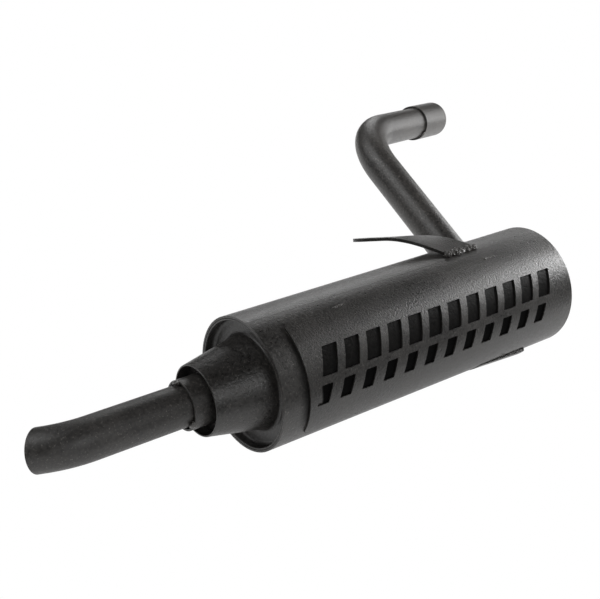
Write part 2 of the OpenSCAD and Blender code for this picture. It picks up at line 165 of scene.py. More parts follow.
class Graph:
    """A node tree of a material or of the world, with one method that adds any node."""

    def __init__(self, tree: bpy.types.NodeTree) -> None:
        """Starts from an empty tree."""
        self.tree = tree
        tree.nodes.clear()

    def node(
        self,
        kind: str,
        settings: Optional[dict] = None,
        inputs: Optional[dict] = None,
        output: Union[int, str] = 0,
    ) -> Wire:
        """Adds one node.

        Args:
            kind: The node's type.
            settings: The node's own settings, which are set first.
            inputs: Values or wires for its input sockets, by name or number.
            output: The output socket that is wanted.

        Returns:
            The wire that leaves that output.
        """
        made = self.tree.nodes.new(kind)
        for name, value in (settings or {}).items():
            setattr(made, name, value)
        for key, value in (inputs or {}).items():
            if isinstance(value, Wire):
                self.tree.links.new(value.socket, made.inputs[key])
            else:
                made.inputs[key].default_value = value
        return Wire(self, made.outputs[output]) if len(made.outputs) else Wire(self, made.inputs[0])

    def maths(self, operation: str, first: Number, second: Number) -> Wire:
        """Adds a Math node on two values."""
        return self.node("ShaderNodeMath", {"operation": operation}, {0: first, 1: second})

    def mix(self, factor: Number, start: Sequence[float], end: Union[Wire, Sequence[float]]) -> Wire:
        """Blends two colours.

        Args:
            factor: 0 gives the first colour and 1 the second.
            start: The first colour, with alpha.
            end: The second colour, with alpha.

        Returns:
            The blended colour.
        """
        return self.node("ShaderNodeMix", {"data_type": "RGBA"}, {0: factor, 6: start, 7: end}, 2)

    def noise(self, place: Wire, size: float, detail: float = 2.0, rough: float = 0.5) -> Wire:
        """Adds a noise pattern.

        Args:
            place: The coordinates that it reads, in metres.
            size: The size of one lump, in millimetres.
            detail: How many finer layers it has.
            rough: How strong the finer layers are.

        Returns:
            The pattern, around 0.5.
        """
        inputs = {"Vector": place, "Scale": 1 / (size * MM), "Detail": detail, "Roughness": rough}
        return self.node("ShaderNodeTexNoise", inputs=inputs)


def blank_material(name: str) -> tuple[bpy.types.Material, Graph]:
    """Makes a material with no nodes, and the graph that fills it."""
    made = bpy.data.materials.new(name)
    made.use_nodes = True
    return made, Graph(made.node_tree)


def grey(value: float, warm: float = 0.0) -> tuple[float, float, float, float]:
    """A grey, a little warmer or cooler where asked."""
    return (value * (1 + warm), value, value * (1 - warm), 1.0)


# ---------------------------------------------------------------- finishes
@dataclass(frozen=True)
class Surface:
    """What every finish has: a name, its material slot in the record and a shader."""

    name: str
    slot: str

    def material(self) -> bpy.types.Material:
        """Builds the material.

        Returns:
            The material, ready to be given to a piece.
        """
        made, graph = blank_material(self.name)
        shader = self.shader(graph, graph.node("ShaderNodeTexCoord", output="Object"))
        graph.node("ShaderNodeOutputMaterial", None, {"Surface": shader})
        return made

    def shader(self, graph: Graph, place: Wire) -> Wire:
        """Adds the finish's shader.

        Args:
            graph: The material's nodes.
            place: The coordinates, in metres.

        Returns:
            The shader.
        """
        raise NotImplementedError


@dataclass(frozen=True)
class PowderCoat(Surface):
    """Satin black powder coat with a fine sandy grain."""

    tone: float = 0.02
    roughness: float = 0.37
    grain: float = 2.6
    grain_height: float = 0.42
    peel: float = 6.0
    peel_height: float = 0.05
    cloud: float = 45.0

    def shader(self, graph: Graph, place: Wire) -> Wire:
        """Adds the coat's shader, whose arguments and result are those of every surface."""
        grain = graph.noise(place, self.grain, 3, 0.65)
        speck = graph.noise(place, self.grain * 0.7, 2).ramp(0.6, 0.72)
        cloud = graph.noise(place, self.cloud, 3)
        shade = (grain * 0.6 + cloud * 0.4).ramp(0.32, 0.68)
        colour = graph.mix(shade, grey(self.tone * 0.5, 0.05), grey(self.tone * 1.5, 0.08))
        colour = graph.mix(speck * 0.7, colour, grey(self.tone * 4.0, 0.08))
        height = grain * self.grain_height + graph.noise(place, self.peel, 1) * self.peel_height
        normal = graph.node(
            "ShaderNodeBump", None, {"Height": height, "Strength": 1.0, "Distance": MM}, "Normal"
        )
        rough = (cloud - 0.5) * 0.16 + (grain - 0.5) * 0.5 + self.roughness
        return graph.node(
            "ShaderNodeBsdfPrincipled",
            None,
            {"Base Color": colour, "Roughness": rough, "Normal": normal, "IOR": 1.52},
        )


@dataclass(frozen=True)
class PaintedShadeCoat(PowderCoat):
    """The shell's coat, mixed towards a near-black matt shade behind the side plate's slots and just beside
    the plate's near end: painted shade that stands in for the shadow in the slots and the shadow cast by the
    plate's edge.

    Distances along the shell are in metres, and angles round it in degrees from straight up.
    """

    upper: float = 47.0
    lower: float = 100.0
    row_break: float = 76.0
    angle_ease: float = 3.0
    near_inset: float = 0.043
    far_inset: float = 0.02
    along_ease: float = 0.003
    upper_painted_shade: float = 0.85
    lower_painted_shade: float = 0.98
    plate_start: float = 0.027
    edge_shadow_width: float = 0.012
    edge_shadow_top: tuple[float, float] = (20.0, 44.0)
    edge_shadow_bottom: tuple[float, float] = (98.0, 118.0)
    edge_shadow_strength: float = 0.8
    painted_shade_tone: float = 0.003

    def shader(self, graph: Graph, place: Wire) -> Wire:
        """Adds the coat's shader with its painted shade, whose arguments and result are those of every
        surface.
        """
        low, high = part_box("canister_shell")
        axis = (low + high) / 2
        along, side, up = (graph.node("ShaderNodeSeparateXYZ", None, {0: place}, i) for i in range(3))
        angle = graph.maths("ARCTAN2", axis.y - side, up - axis.z) * math.degrees(1)
        # Painted shade: behind the plate's slots the shell is mixed towards near-black matt, deeper in the
        # lower row, standing in for the shadow inside the slots
        slot_shade_mask = angle.between(self.upper, self.lower, self.angle_ease)
        slot_shade_mask = slot_shade_mask * along.between(low.x + self.near_inset, high.x - self.far_inset, self.along_ease)
        deeper = angle.ramp(self.row_break - self.angle_ease, self.row_break)
        slot_shade_mask = slot_shade_mask * (deeper * (self.lower_painted_shade - self.upper_painted_shade) + self.upper_painted_shade)
        # Painted shadow: a soft dark band on the shell just beside the plate's near end, standing in for the
        # shadow that the plate's edge casts
        edge = low.x + self.plate_start
        edge_shadow = along.ramp(edge - self.edge_shadow_width, edge) * (1 - along.ramp(edge, edge + self.along_ease))
        edge_shadow = edge_shadow * angle.ramp(*self.edge_shadow_top) * (1 - angle.ramp(*self.edge_shadow_bottom)) * self.edge_shadow_strength
        # The near-black matt shader that carries the painted shade and painted shadow
        painted_shade_bsdf = graph.node("ShaderNodeBsdfDiffuse", None, {"Color": grey(self.painted_shade_tone)})
        coat = super().shader(graph, place)
        return graph.node("ShaderNodeMixShader", None, {0: slot_shade_mask + edge_shadow, 1: coat, 2: painted_shade_bsdf})


@dataclass(frozen=True)
class BareSteel(Surface):
    """Uncoated mild steel with drawing marks."""

    tone: float = 0.42
    roughness: float = 0.42
    streak: float = 1.2

    def shader(self, graph: Graph, place: Wire) -> Wire:
        """Adds the steel's shader, whose arguments and result are those of every surface."""
        drawn = graph.node("ShaderNodeMapping", None, {"Vector": place, "Scale": (0.05, 1, 1)})
        streak = graph.noise(drawn, self.streak, 3, 0.6)
        stain = graph.noise(place, 30, 4)
        colour = graph.mix(stain.ramp(0.35, 0.7), grey(self.tone, 0.02), grey(self.tone * 0.55, 0.08))
        normal = graph.node(
            "ShaderNodeBump", None, {"Height": streak, "Strength": 0.4, "Distance": 0.05 * MM}, "Normal"
        )
        rough = (stain - 0.5) * 0.3 + (streak - 0.5) * 0.2 + self.roughness
        return graph.node(
            "ShaderNodeBsdfPrincipled",
            None,
            {"Base Color": colour, "Metallic": 1.0, "Roughness": rough, "Normal": normal},
        )


@dataclass(frozen=True)
class GlassFibre(Surface):
    """Matted glass fibre packing."""

    strand: float = 0.8

    def shader(self, graph: Graph, place: Wire) -> Wire:
        """Adds the packing's shader, whose arguments and result are those of every surface."""
        combed = graph.node("ShaderNodeMapping", None, {"Vector": place, "Scale": (0.12, 1, 1)})
        strand = graph.noise(combed, self.strand, 5, 0.7)
        tuft = graph.noise(place, 14, 3)
        shade = (strand * 0.7 + tuft * 0.3).ramp(0.35, 0.65)
        colour = graph.mix(shade, (0.55, 0.46, 0.26, 1), (0.86, 0.8, 0.62, 1))
        normal = graph.node(
            "ShaderNodeBump", None, {"Height": strand, "Strength": 0.9, "Distance": 0.6 * MM}, "Normal"
        )
        return graph.node(
            "ShaderNodeBsdfPrincipled", None, {"Base Color": colour, "Roughness": 0.9, "Normal": normal}
        )


class Finish(Enum):
    """The finishes that the pieces are given."""

    # The shell's coat carries painted shade behind the slots and a painted shadow beside the plate's near end
    SHELL = PaintedShadeCoat("shell_coat", "shell_paint")
    CAP = PowderCoat("cap_coat", "shell_paint")
    PIPE = PowderCoat("pipe_coat", "pipe_paint", tone=0.024, roughness=0.45)
    # A lighter copy of the pipe coat, which shares its paint: the extra tone is painted light, for the inlet
    # sitting in brighter light
    INLET = PowderCoat("inlet_coat", "pipe_paint", tone=0.034, roughness=0.38)
    PLATE = PowderCoat("plate_coat", "plate_paint", grain=2.0)
    WELD = PowderCoat("weld_coat", "weld_paint", tone=0.04, roughness=0.2, grain=1.6, peel=2.5)
    STEEL = BareSteel("bare_steel_finish", "bare_steel")
    FIBRE = GlassFibre("glass_fibre_finish", "glass_wool")


# ---------------------------------------------------------------- the frame and mesh helpers
@dataclass(frozen=True)
class Layout:
    """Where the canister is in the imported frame, and its overall sizes in millimetres."""

    origin: Vector
    length: float
    radius: float

    @classmethod
    def from_frame(cls) -> "Layout":
        """Reads the canister's place from its packed shell.

        Returns:
            The layout.
        """
        low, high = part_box("canister_shell")
        middle = (low + high) / 2
        radius = (high.y - low.y) / 2 / MM
        return cls(Vector((low.x, middle.y, middle.z)), (high.x - low.x) / MM, radius)


def round_place(x: float, angle: float, radius: float) -> Vector:
    """The point at an angle round the canister, at a distance along and a radius."""
    turn = math.radians(angle)
    return Vector((x, -radius * math.sin(turn), radius * math.cos(turn)))


def axes_at(place: Vector, along: Vector, side: Vector) -> Matrix:
    """Makes the matrix that puts local X on one direction and local Y on another.

    Args:
        place: Where the local origin goes.
        along: The direction of local X.
        side: The direction of local Y, which need not be quite square to it.

    Returns:
        The matrix.
    """
    first = along.normalized()
    second = (side - side.dot(first) * first).normalized()
    matrix = Matrix((first, second, first.cross(second))).transposed().to_4x4()
    matrix.translation = place
    return matrix


def arc(centre: tuple[float, float], radius: float, start: float, end: float, steps: int = 8) -> list:
    """Points of an arc, at angles in degrees.

    Args:
        centre: The centre, as distance along the axis and radius.
        radius: The arc's own radius.
        start: The first angle, from the axis towards larger radii.
        end: The last angle.
        steps: How many chords it has.

    Returns:
        The points.
    """
    turns = [math.radians(start + (end - start) * i / steps) for i in range(steps + 1)]
    return [(centre[0] + radius * math.cos(t), centre[1] + radius * math.sin(t)) for t in turns]


def lathe(profile: Sequence[tuple[float, float]], steps: int = ROUND_STEPS) -> bmesh.types.BMesh:
    """Spins a closed outline about local X.

    Args:
        profile: The outline's corners, as distance along the axis and radius.
        steps: How many steps the full turn has.

    Returns:
        The turned shape, closed and facing outwards.
    """
    bm = bmesh.new()
    verts = [bm.verts.new((x, 0, r)) for x, r in profile]
    edges = [bm.edges.new(pair) for pair in zip(verts, verts[1:] + verts[:1])]
    bmesh.ops.spin(
        bm, geom=verts + edges, cent=(0, 0, 0), axis=(1, 0, 0), angle=FULL_TURN, steps=steps, use_merge=True
    )
    bmesh.ops.remove_doubles(bm, verts=bm.verts, dist=1e-4)
    bmesh.ops.recalc_face_normals(bm, faces=bm.faces)
    return bm


def grow_ring(bm: bmesh.types.BMesh, ring: list, move: Matrix) -> list:
    """Extrudes a ring of edges and moves the new ring.

    Args:
        bm: The mesh.
        ring: The ring's edges.
        move: The matrix that takes the old ring to the new one.

    Returns:
        The new ring's edges.
    """
    grown = bmesh.ops.extrude_edge_only(bm, edges=ring)["geom"]
    verts = {v for v in grown if isinstance(v, bmesh.types.BMVert)}
    bmesh.ops.transform(bm, matrix=move, verts=list(verts))
    return [e for e in grown if isinstance(e, bmesh.types.BMEdge) and verts.issuperset(e.verts)]


@dataclass(frozen=True)
class BentTube:
    """A tube's skin along local X that bends once towards local Y."""

    radius: float
    straight: float
    bend_radius: float
    turn: float
    end: float
    sides: int = 96
    bend_steps: int = 40
    straight_steps: int = 6

    def end_place(self, past: float) -> Matrix:
        """The local frame at a distance past the bend's end."""
        turned = Matrix.Rotation(math.radians(self.turn), 4, "Z")
        centre = Matrix.Translation((self.straight, self.bend_radius, 0))
        return centre @ turned @ Matrix.Translation((past, -self.bend_radius, 0))

    def mesh(self) -> bmesh.types.BMesh:
        """Extrudes and spins the skin.

        Returns:
            The open skin, facing outwards.
        """
        bm = bmesh.new()
        facing = Matrix.Rotation(math.pi / 2, 4, "Y")
        bmesh.ops.create_circle(bm, segments=self.sides, radius=self.radius, matrix=facing)
        ring = list(bm.edges)
        for _ in range(self.straight_steps):
            ring = grow_ring(bm, ring, Matrix.Translation((self.straight / self.straight_steps, 0, 0)))
        centre = Matrix.Translation((self.straight, self.bend_radius, 0))
        step = Matrix.Rotation(math.radians(self.turn / self.bend_steps), 4, "Z")
        for _ in range(self.bend_steps):
            ring = grow_ring(bm, ring, centre @ step @ centre.inverted())
        run = self.end_place(1).translation - self.end_place(0).translation
        for _ in range(self.straight_steps):
            ring = grow_ring(bm, ring, Matrix.Translation(run * self.end / self.straight_steps))
        bmesh.ops.recalc_face_normals(bm, faces=bm.faces)
        return bm


@dataclass(frozen=True)
class Station:
    """One ring of a weld bead: its centre, the way the bead runs, its outer side and its radius."""

    place: Vector
    along: Vector
    out: Vector
    radius: float

    def matrix(self) -> Matrix:
        """The matrix that puts a unit circle there."""
        turned = axes_at(self.place, self.along, self.out) @ Matrix.Rotation(math.pi / 2, 4, "Y")
        return turned @ Matrix.Scale(self.radius, 4)


@dataclass(frozen=True)
class Bead:
    """A rippled weld bead, as a welder leaves it."""

    size: float = 2.4
    ripple: float = 0.12
    ripple_pitch: float = 2.2
    lumps: float = 0.16
    lump_size: float = 5.0
    sides: int = 12
    spacing: float = 0.7
    seed: float = 0.0

    def mesh(self, path: Sequence[tuple[Vector, Vector]], closed: bool = False) -> bmesh.types.BMesh:
        """Sweeps the bead along a path.

        Args:
            path: Places and outer directions along the bead, evenly spaced.
            closed: Whether the bead runs into its own start.

        Returns:
            The closed bead.
        """
        stations = self._stations(path, closed)
        bm = bmesh.new()
        now = stations[0].matrix()
        bmesh.ops.create_circle(bm, cap_ends=not closed, segments=self.sides, radius=1, matrix=now)
        ring = list(bm.edges)
        for station in stations[1:]:
            target = station.matrix()
            ring = grow_ring(bm, ring, target @ now.inverted())
            now = target
        if closed:
            bmesh.ops.remove_doubles(bm, verts=bm.verts, dist=1e-3)
        else:
            bmesh.ops.contextual_create(bm, geom=ring)
        bmesh.ops.recalc_face_normals(bm, faces=bm.faces)
        return bm

    def straight(self, start: float, length: float, angle: float, radius: float) -> bmesh.types.BMesh:
        """Sweeps the bead along the canister.

        Args:
            start: Where it starts along the canister.
            length: Its length.
            angle: Its angle round the canister.
            radius: Its distance from the canister's axis.

        Returns:
            The closed bead.
        """
        out = round_place(0, angle, 1)
        steps = range(int(length / self.spacing))
        return self.mesh([(round_place(start + k * self.spacing, angle, radius), out) for k in steps])

    def _stations(self, path: Sequence[tuple[Vector, Vector]], closed: bool) -> list[Station]:
        """Works out the bead's rings.

        Args:
            path: Places and outer directions along the bead.
            closed: Whether the bead runs into its own start.

        Returns:
            The rings, the first again at the end of a closed bead.
        """
        places = [p for p, _ in path]
        count = len(path)
        made = []
        for i, (place, out) in enumerate(path):
            after = places[(i + 1) % count] if closed or i + 1 < count else place
            before = places[i - 1] if closed or i else place
            run = i * self.spacing
            wave = math.cos(FULL_TURN * run / self.ripple_pitch)
            lump = noise.noise(place / self.lump_size + Vector((self.seed, 0, 0)))
            radius = self.size * (1 + self.ripple * wave + 2 * self.lumps * lump)
            if not closed:
                ends = min(i, count - 1 - i) * self.spacing / (1.5 * self.size)
                radius *= math.sqrt(min(1.0, 0.12 + ends))
            made.append(Station(place, after - before, out, radius))
        return made + made[:1] if closed else made


def lump(
    bm: bmesh.types.BMesh, place: Vector, sizes: Vector, turn: Matrix, rough: float, seed: float
) -> None:
    """Adds an uneven blob of weld metal.

    Args:
        bm: The mesh that it is added to.
        place: Its centre.
        sizes: Its half sizes along its own axes.
        turn: How those axes are turned.
        rough: How uneven it is, as a share of its size.
        seed: Chooses its shape.
    """
    made = bmesh.ops.create_icosphere(bm, subdivisions=4, radius=1)["verts"]
    for vert in made:
        swell = noise.fractal(vert.co * 1.3 + Vector((seed, seed, 0)), 0.8, 2.2, 4)
        vert.co *= 1 + rough * swell
    matrix = Matrix.Translation(place) @ turn @ Matrix.Diagonal((*sizes, 1))
    bmesh.ops.transform(bm, matrix=matrix, verts=made)


def join(parts: Sequence[bmesh.types.BMesh]) -> bmesh.types.BMesh:
    """Puts several meshes into one.

    Args:
        parts: The meshes, which are used up.

    Returns:
        The one mesh.
    """
    whole = bmesh.new()
    for part in parts:
        mesh = bpy.data.meshes.new("part")
        part.to_mesh(mesh)
        part.free()
        whole.from_mesh(mesh)
        bpy.data.meshes.remove(mesh)
    return whole


class Workshop:
    """Turns bmeshes into finished pieces that ride on the frame."""

    def __init__(self, layout: Layout) -> None:
        """Keeps the layout and builds every finish once."""
        self.layout = layout
        self.materials = {finish: finish.value.material() for finish in Finish}

    def piece(
        self,
        name: str,
        bm: bmesh.types.BMesh,
        finish: Finish,
        nodes: Sequence[str] = (),
        wall: float = 0.0,
        outward: float = -1.0,
        edge: float = 0.4,
    ) -> bpy.types.Object:
        """Finishes one piece.

        Args:
            name: The piece's name.
            bm: Its mesh in the canister's frame, which is used up.
            finish: Its finish.
            nodes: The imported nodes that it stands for.
            wall: The thickness that an open skin is given, or 0.
            outward: Where that thickness goes: -1 inwards, 0 both ways, 1 outwards.
            edge: The size of the rounding on its sharp edges, or 0.

        Returns:
            The finished object.
        """
        to_row = Matrix.Translation(self.layout.origin) @ Matrix.Scale(MM, 4)
        bmesh.ops.transform(bm, matrix=to_row, verts=bm.verts)
        for face in bm.faces:
            face.smooth = True
        mesh = bpy.data.meshes.new(name)
        bm.to_mesh(mesh)
        bm.free()
        made = bpy.data.objects.new(name, mesh)
        bpy.context.scene.collection.objects.link(made)
        mesh.materials.append(self.materials[finish])
        if wall:
            skin = made.modifiers.new("wall", "SOLIDIFY")
            skin.thickness = wall * MM
            skin.offset = outward
            skin.use_even_offset = True
        if edge:
            rounding = made.modifiers.new("edge", "BEVEL")
            rounding.width = edge * MM
            rounding.segments = 3
            rounding.limit_method = "ANGLE"
            rounding.angle_limit = math.radians(32)
            rounding.harden_normals = True
        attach(made, BODY)
        if nodes:
            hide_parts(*nodes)
        self._report(made, nodes)
        return made

    def _report(self, made: bpy.types.Object, nodes: Sequence[str]) -> None:
        """Logs the piece and how far its box is from that of the nodes it stands for.

        Args:
            made: The finished object.
            nodes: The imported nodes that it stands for.
        """
        shown = made.evaluated_get(bpy.context.evaluated_depsgraph_get())
        corners = [Vector(c) for c in shown.bound_box]
        off = 0.0
        if nodes:
            boxes = [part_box(n) for n in nodes]
            for axis in range(3):
                low = min(b[0][axis] for b in boxes)
                high = max(b[1][axis] for b in boxes)
                off = max(off, abs(min(c[axis] for c in corners) - low))
                off = max(off, abs(max(c[axis] for c in corners) - high))
        log.info("%s: %d faces, box off by %.2f mm", made.name, len(shown.data.polygons), off / MM)

    def dress(self, frame: dict, node: str, finish: Finish) -> None:
        """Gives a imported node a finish.

        Args:
            node: The node's name.
            finish: Its finish.
        """
        mesh = frame["nodes"][node].data
        mesh.materials.clear()
        mesh.materials.append(self.materials[finish])
        log.info("%s: dressed", node)

    def cut(self, target: bmesh.types.BMesh, tool: bmesh.types.BMesh) -> bmesh.types.BMesh:
        """Cuts one closed mesh out of another.

        Args:
            target: The mesh that is cut, which is used up.
            tool: The mesh that is taken away, which is used up.

        Returns:
            What is left.
        """
        pair = []
        for name, bm in (("target", target), ("tool", tool)):
            mesh = bpy.data.meshes.new(name)
            bm.to_mesh(mesh)
            bm.free()
            pair.append(bpy.data.objects.new(name, mesh))
            bpy.context.scene.collection.objects.link(pair[-1])
        cutter = pair[0].modifiers.new("cut", "BOOLEAN")
        cutter.operation = "DIFFERENCE"
        cutter.solver = "EXACT"
        cutter.object = pair[1]
        left = bmesh.new()
        left.from_object(pair[0], bpy.context.evaluated_depsgraph_get())
        for thing in pair:
            mesh = thing.data
            bpy.data.objects.remove(thing)
            bpy.data.meshes.remove(mesh)
        return left


# ---------------------------------------------------------------- sub-assemblies
@dataclass(frozen=True)
class PipeSizes:
    """The two pipes' tube, and the pieces that slide over one another."""

    radius: float = 19.05
    wall: float = 1.6
    gap: float = 0.15
    core_wall: float = 1.4
    sleeve_wall: float = 2.2

    @property
    def core_in(self) -> float:
        """Inside radius of the core tube."""
        return self.radius + self.gap

    @property
    def sleeve_in(self) -> float:
        """Inside radius of the outlet sleeve."""
        return self.core_in + self.core_wall + self.gap

    @property
    def sleeve_out(self) -> float:
        """Outside radius of the outlet sleeve."""
        return self.sleeve_in + self.sleeve_wall


@dataclass
class EndCap:
    """A pressed cap with a rim flange, a bend and a floor that falls to the middle."""

    radius: float
    wall: float = 2.0
    depth: float = 9.8
    bend: float = 4.0
    dish: float = 4.5

    @property
    def floor_start(self) -> float:
        """Radius at which the bend meets the floor."""
        return self.radius - self.wall - self.bend

    def floor_x(self, radius: float) -> float:
        """Depth of the floor below the rim at a radius."""
        return self.depth + self.dish * (self.floor_start - radius) / self.floor_start

    def mesh(self, hole: float) -> bmesh.types.BMesh:
        """Turns the cap, with its rim at x = 0 and its floor towards +X.

        Args:
            hole: Radius of the hole in its middle, or 0.

        Returns:
            The closed cap.
        """
        centre = (self.depth - self.bend, self.floor_start)
        inside = self.radius - self.wall
        floor = [(self.floor_x(hole), hole), (self.floor_x(hole) + self.wall, hole)]
        profile = [(0, inside)] + arc(centre, self.bend, 90, 0, 10) + floor
        profile += arc(centre, self.bend + self.wall, 0, 90, 10) + [(0, self.radius)]
        return lathe(profile)


@dataclass
class Canister:
    """The rolled shell, its seam and its two pressed caps."""

    layout: Layout
    pipes: PipeSizes
    wall: float = 2.0
    gap: float = 0.15
    seam_angle: float = 7.0
    seam_width: float = 1.6
    seam_height: float = 0.1
    cap: EndCap = field(init=False)

    def __post_init__(self) -> None:
        """Fits the caps to the shell."""
        self.cap = EndCap(self.layout.radius - self.wall - self.gap)

    def build(self, shop: Workshop, inlet: "Inlet") -> None:
        """Builds the canister.

        Args:
            shop: The workshop.
            inlet: The inlet, whose pipe goes through the shell.
        """
        radius, length = self.layout.radius, self.layout.length
        tube = lathe([(0, radius - self.wall), (length, radius - self.wall), (length, radius), (0, radius)])
        tool = bmesh.new()
        reach = 2 * radius
        place = axes_at(inlet.root, inlet.way, inlet.side) @ Matrix.Rotation(math.pi / 2, 4, "Y")
        bmesh.ops.create_cone(
            tool,
            cap_ends=True,
            segments=96,
            radius1=inlet.pipes.core_in,
            radius2=inlet.pipes.core_in,
            depth=reach,
            matrix=place @ Matrix.Translation((0, 0, radius / 2 + reach / 2)),
        )
        shell = shop.cut(tube, tool)
        shop.piece("shell_tube", join([shell, self._seam()]), Finish.SHELL, ["canister_shell"], edge=0.45)
        outlet = self.cap.mesh(self.pipes.sleeve_out + self.gap)
        shop.piece("outlet_cap", outlet, Finish.CAP, ["outlet_end_cap"], edge=0.9)
        closed = self.cap.mesh(0)
        turned = Matrix.Translation((length, 0, 0)) @ Matrix.Rotation(math.pi, 4, "Z")
        bmesh.ops.transform(closed, matrix=turned, verts=closed.verts)
        shop.piece("closed_cap", closed, Finish.CAP, ["closed_end_cap"], edge=0.5)

    def _seam(self) -> bmesh.types.BMesh:
        """Lays the shell's lengthwise weld seam, sunk into the shell.

        Returns:
            The closed strip.
        """
        bm = bmesh.new()
        sunk = self.layout.radius - self.seam_width + self.seam_height
        turn = Matrix.Rotation(math.radians(self.seam_angle), 4, "X")
        ends = (1.0, self.layout.length - 1.0)
        place = turn @ Matrix.Translation((ends[0], 0, sunk)) @ Matrix.Rotation(math.pi / 2, 4, "Y")
        bmesh.ops.create_circle(bm, cap_ends=True, segments=16, radius=self.seam_width, matrix=place)
        ring = grow_ring(bm, list(bm.edges), Matrix.Translation((ends[1] - ends[0], 0, 0)))
        bmesh.ops.contextual_create(bm, geom=ring)
        bmesh.ops.recalc_face_normals(bm, faces=bm.faces)
        return bm


@dataclass
class Outlet:
    """The cone, its closing ring, the sleeve and the turned-out tail pipe."""

    cap: EndCap
    pipes: PipeSizes
    mouth_gap: float = 10.0
    foot_land: float = 8.0
    flare: float = 3.5
    lean: float = 10.0
    reach: float = 49.0
    wall: float = 1.6
    ring_depth: float = 14.0
    ring_wall: float = 2.0
    sleeve_reach: float = 14.7
    insert: float = 14.0
    straight: float = 150.0
    bend_radius: float = 60.0
    turn: float = 37.0
    dip: float = 15.0
    end: float = 6.0
    end_cut: float = 15.0
    bead: float = 3.0
    tack_angles: tuple[float, ...] = (-14.0, 118.0, 235.0)

    @property
    def tip_radius(self) -> float:
        """Outside radius of the cone's tip."""
        return self.pipes.sleeve_out + self.mouth_gap

    @property
    def core_x(self) -> float:
        """Where the core tube starts, behind the outlet cap."""
        return self.cap.floor_x(self.pipes.sleeve_out) + self.cap.wall

    def build(self, shop: Workshop) -> None:
        """Builds the outlet.

        Args:
            shop: The workshop.
        """
        foot_radius = self.cap.floor_start - self.foot_land
        foot_x = self.cap.floor_x(foot_radius)
        flare = arc((foot_x - self.flare, foot_radius), self.flare, -90 + self.lean, 0)
        inner_foot = flare[0][1] - self.wall
        inner_x = self.cap.floor_x(inner_foot)
        tip_x, tip_in = -self.reach, self.tip_radius - self.wall
        cone = [(tip_x, self.tip_radius)] + flare + [(inner_x, inner_foot), (tip_x, tip_in)]
        shop.piece("cone", lathe(cone), Finish.CAP, ["outlet_cone"], edge=0.75)

        def cone_in(x: float) -> float:
            """Inside radius of the cone at a distance along."""
            return tip_in + (inner_foot - tip_in) * (x - tip_x) / (inner_x - tip_x)

        ring_x = tip_x + self.ring_depth
        back_x = ring_x + self.ring_wall
        hole = self.pipes.sleeve_out + self.pipes.gap
        ring = [(ring_x, hole), (ring_x, cone_in(ring_x)), (back_x, cone_in(back_x)), (back_x, hole)]
        shop.piece("closing_ring", lathe(ring), Finish.CAP, ["cone_ring"], edge=0.3)
        self._sleeve(shop, ring_x)
        self._tail(shop)

    def _sleeve(self, shop: Workshop, ring_x: float) -> None:
        """Builds the sleeve and its welds.

        Args:
            shop: The workshop.
            ring_x: Where the closing ring stands.
        """
        start, end = -self.reach - self.sleeve_reach, self.core_x + self.insert + 2
        inside, outside = self.pipes.sleeve_in, self.pipes.sleeve_out
        sleeve = lathe([(start, inside), (end, inside), (end, outside), (start, outside)])
        shop.piece("sleeve", sleeve, Finish.PIPE, ["outlet_sleeve"], edge=0.6)
        weld = Bead(self.bead * 0.75, spacing=1.0, seed=3)
        count = 150
        path = [
            (round_place(ring_x, 360 * i / count, outside), round_place(0, 360 * i / count, 1))
            for i in range(count)
        ]
        shop.piece("sleeve_bead", weld.mesh(path, True), Finish.WELD, ["sleeve_weld"], edge=0)
        tacks = bmesh.new()
        middle = (self.pipes.radius + outside) / 2
        for i, angle in enumerate(self.tack_angles):
            turn = Matrix.Rotation(math.radians(angle), 4, "X")
            place = round_place(start - 0.8, angle, middle)
            lump(tacks, place, Vector((2.6, 4.4, 2.5)), turn, 0.22, 7 + 5 * i)
        shop.piece("tail_tacks", tacks, Finish.WELD, ["tail_tack_welds"], edge=0)

    def _tail(self, shop: Workshop) -> None:
        """Builds the tail pipe.

        Args:
            shop: The workshop.
        """
        start = self.core_x + self.insert
        spare = self.pipes.radius * math.tan(math.radians(self.end_cut)) + 1
        tube = BentTube(
            self.pipes.radius, start + self.straight, self.bend_radius, self.turn, self.end + spare
        )
        skin = tube.mesh()
        slant = tube.end_place(self.end) @ Matrix.Rotation(math.radians(self.end_cut), 4, "Z")
        bmesh.ops.bisect_plane(
            skin,
            geom=skin.verts[:] + skin.edges[:] + skin.faces[:],
            plane_co=slant.translation,
            plane_no=slant.to_3x3() @ Vector((1, 0, 0)),
            clear_outer=True,
        )
        dip = math.radians(self.dip)
        place = axes_at(Vector((start, 0, 0)), Vector((-1, 0, 0)), Vector((0, math.cos(dip), -math.sin(dip))))
        bmesh.ops.transform(skin, matrix=place, verts=skin.verts)
        bmesh.ops.recalc_face_normals(skin, faces=skin.faces)
        shop.piece("tail", skin, Finish.PIPE, ["tail_pipe"], wall=self.pipes.wall, edge=0.45)


